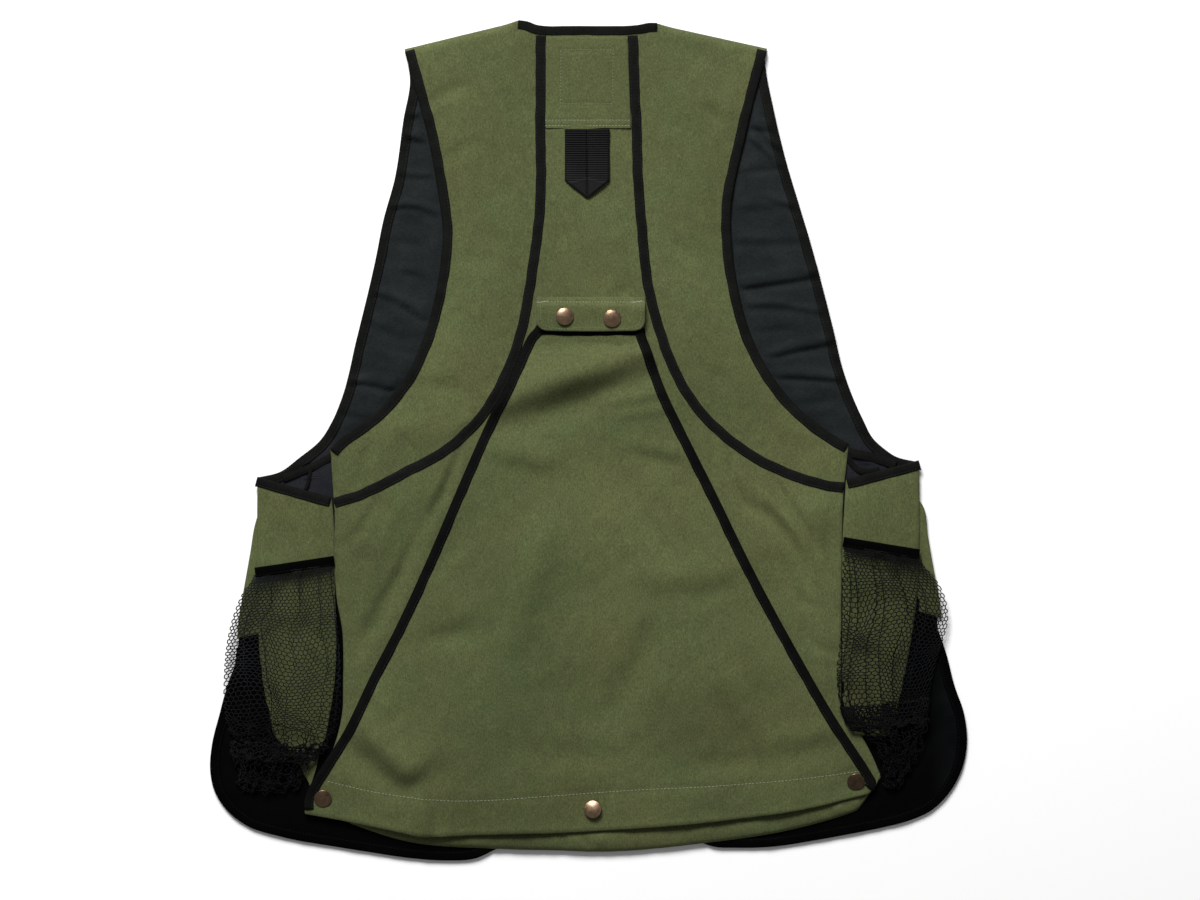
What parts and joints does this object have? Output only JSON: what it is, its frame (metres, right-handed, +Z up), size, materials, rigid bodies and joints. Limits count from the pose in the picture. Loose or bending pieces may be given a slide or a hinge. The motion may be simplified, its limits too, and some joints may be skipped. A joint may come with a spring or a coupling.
{
  "type": "dog training vest",
  "caption": "Sleeveless canvas vest laid flat, back up, with a large back pouch closed by a snapped flap, net side pockets, taped edges and a webbing hanger loop.",
  "frame": {"origin": "under the middle of the vest, on the surface that it lies on", "axes": "+X to the wearer's right as the back is seen from above, +Y from hem to neck, +Z up from the surface"},
  "size_m": [0.6439, 0.7144, 0.0221],
  "materials": {
    "canvas": "dense olive green cotton canvas, dull, with a fine twill weave",
    "lining": "black polyester lining with a slight sheen",
    "tape": "black woven binding tape, stitched along its inner edge",
    "net": "black knitted net with hexagonal holes",
    "webbing": "black webbing with raised cross ribs",
    "snap_metal": "antique copper plated brass, brushed and slightly worn"
  },
  "bodies": {
    "root": {"back_panel": "canvas", "neck_yoke": "canvas", "shoulder_left": "canvas", "shoulder_right": "canvas", "side_panel_left": "canvas", "side_panel_right": "canvas", "side_tab_left": "canvas", "side_tab_right": "canvas", "front_left": "canvas", "front_right": "canvas", "pouch_panel": "canvas", "pouch_flap": "canvas", "front_lining_left": "lining", "front_lining_right": "lining", "front_zip": "tape", "neck_binding": "tape", "seam_binding_left": "tape", "seam_binding_right": "tape", "armhole_binding_left": "tape", "armhole_binding_right": "tape", "side_binding_left": "tape", "side_binding_right": "tape", "front_armhole_binding_left": "tape", "front_armhole_binding_right": "tape", "front_hem_binding_left": "tape", "front_hem_binding_right": "tape", "pouch_binding_left": "tape", "pouch_binding_right": "tape", "net_binding_left": "tape", "net_binding_right": "tape", "net_pocket_left": "net", "net_pocket_right": "net", "hanger_loop": "webbing", "flap_snap_left": "snap_metal", "flap_snap_right": "snap_metal", "hem_snap_left": "snap_metal", "hem_snap_middle": "snap_metal", "hem_snap_right": "snap_metal"}
  },
  "joints": []
}
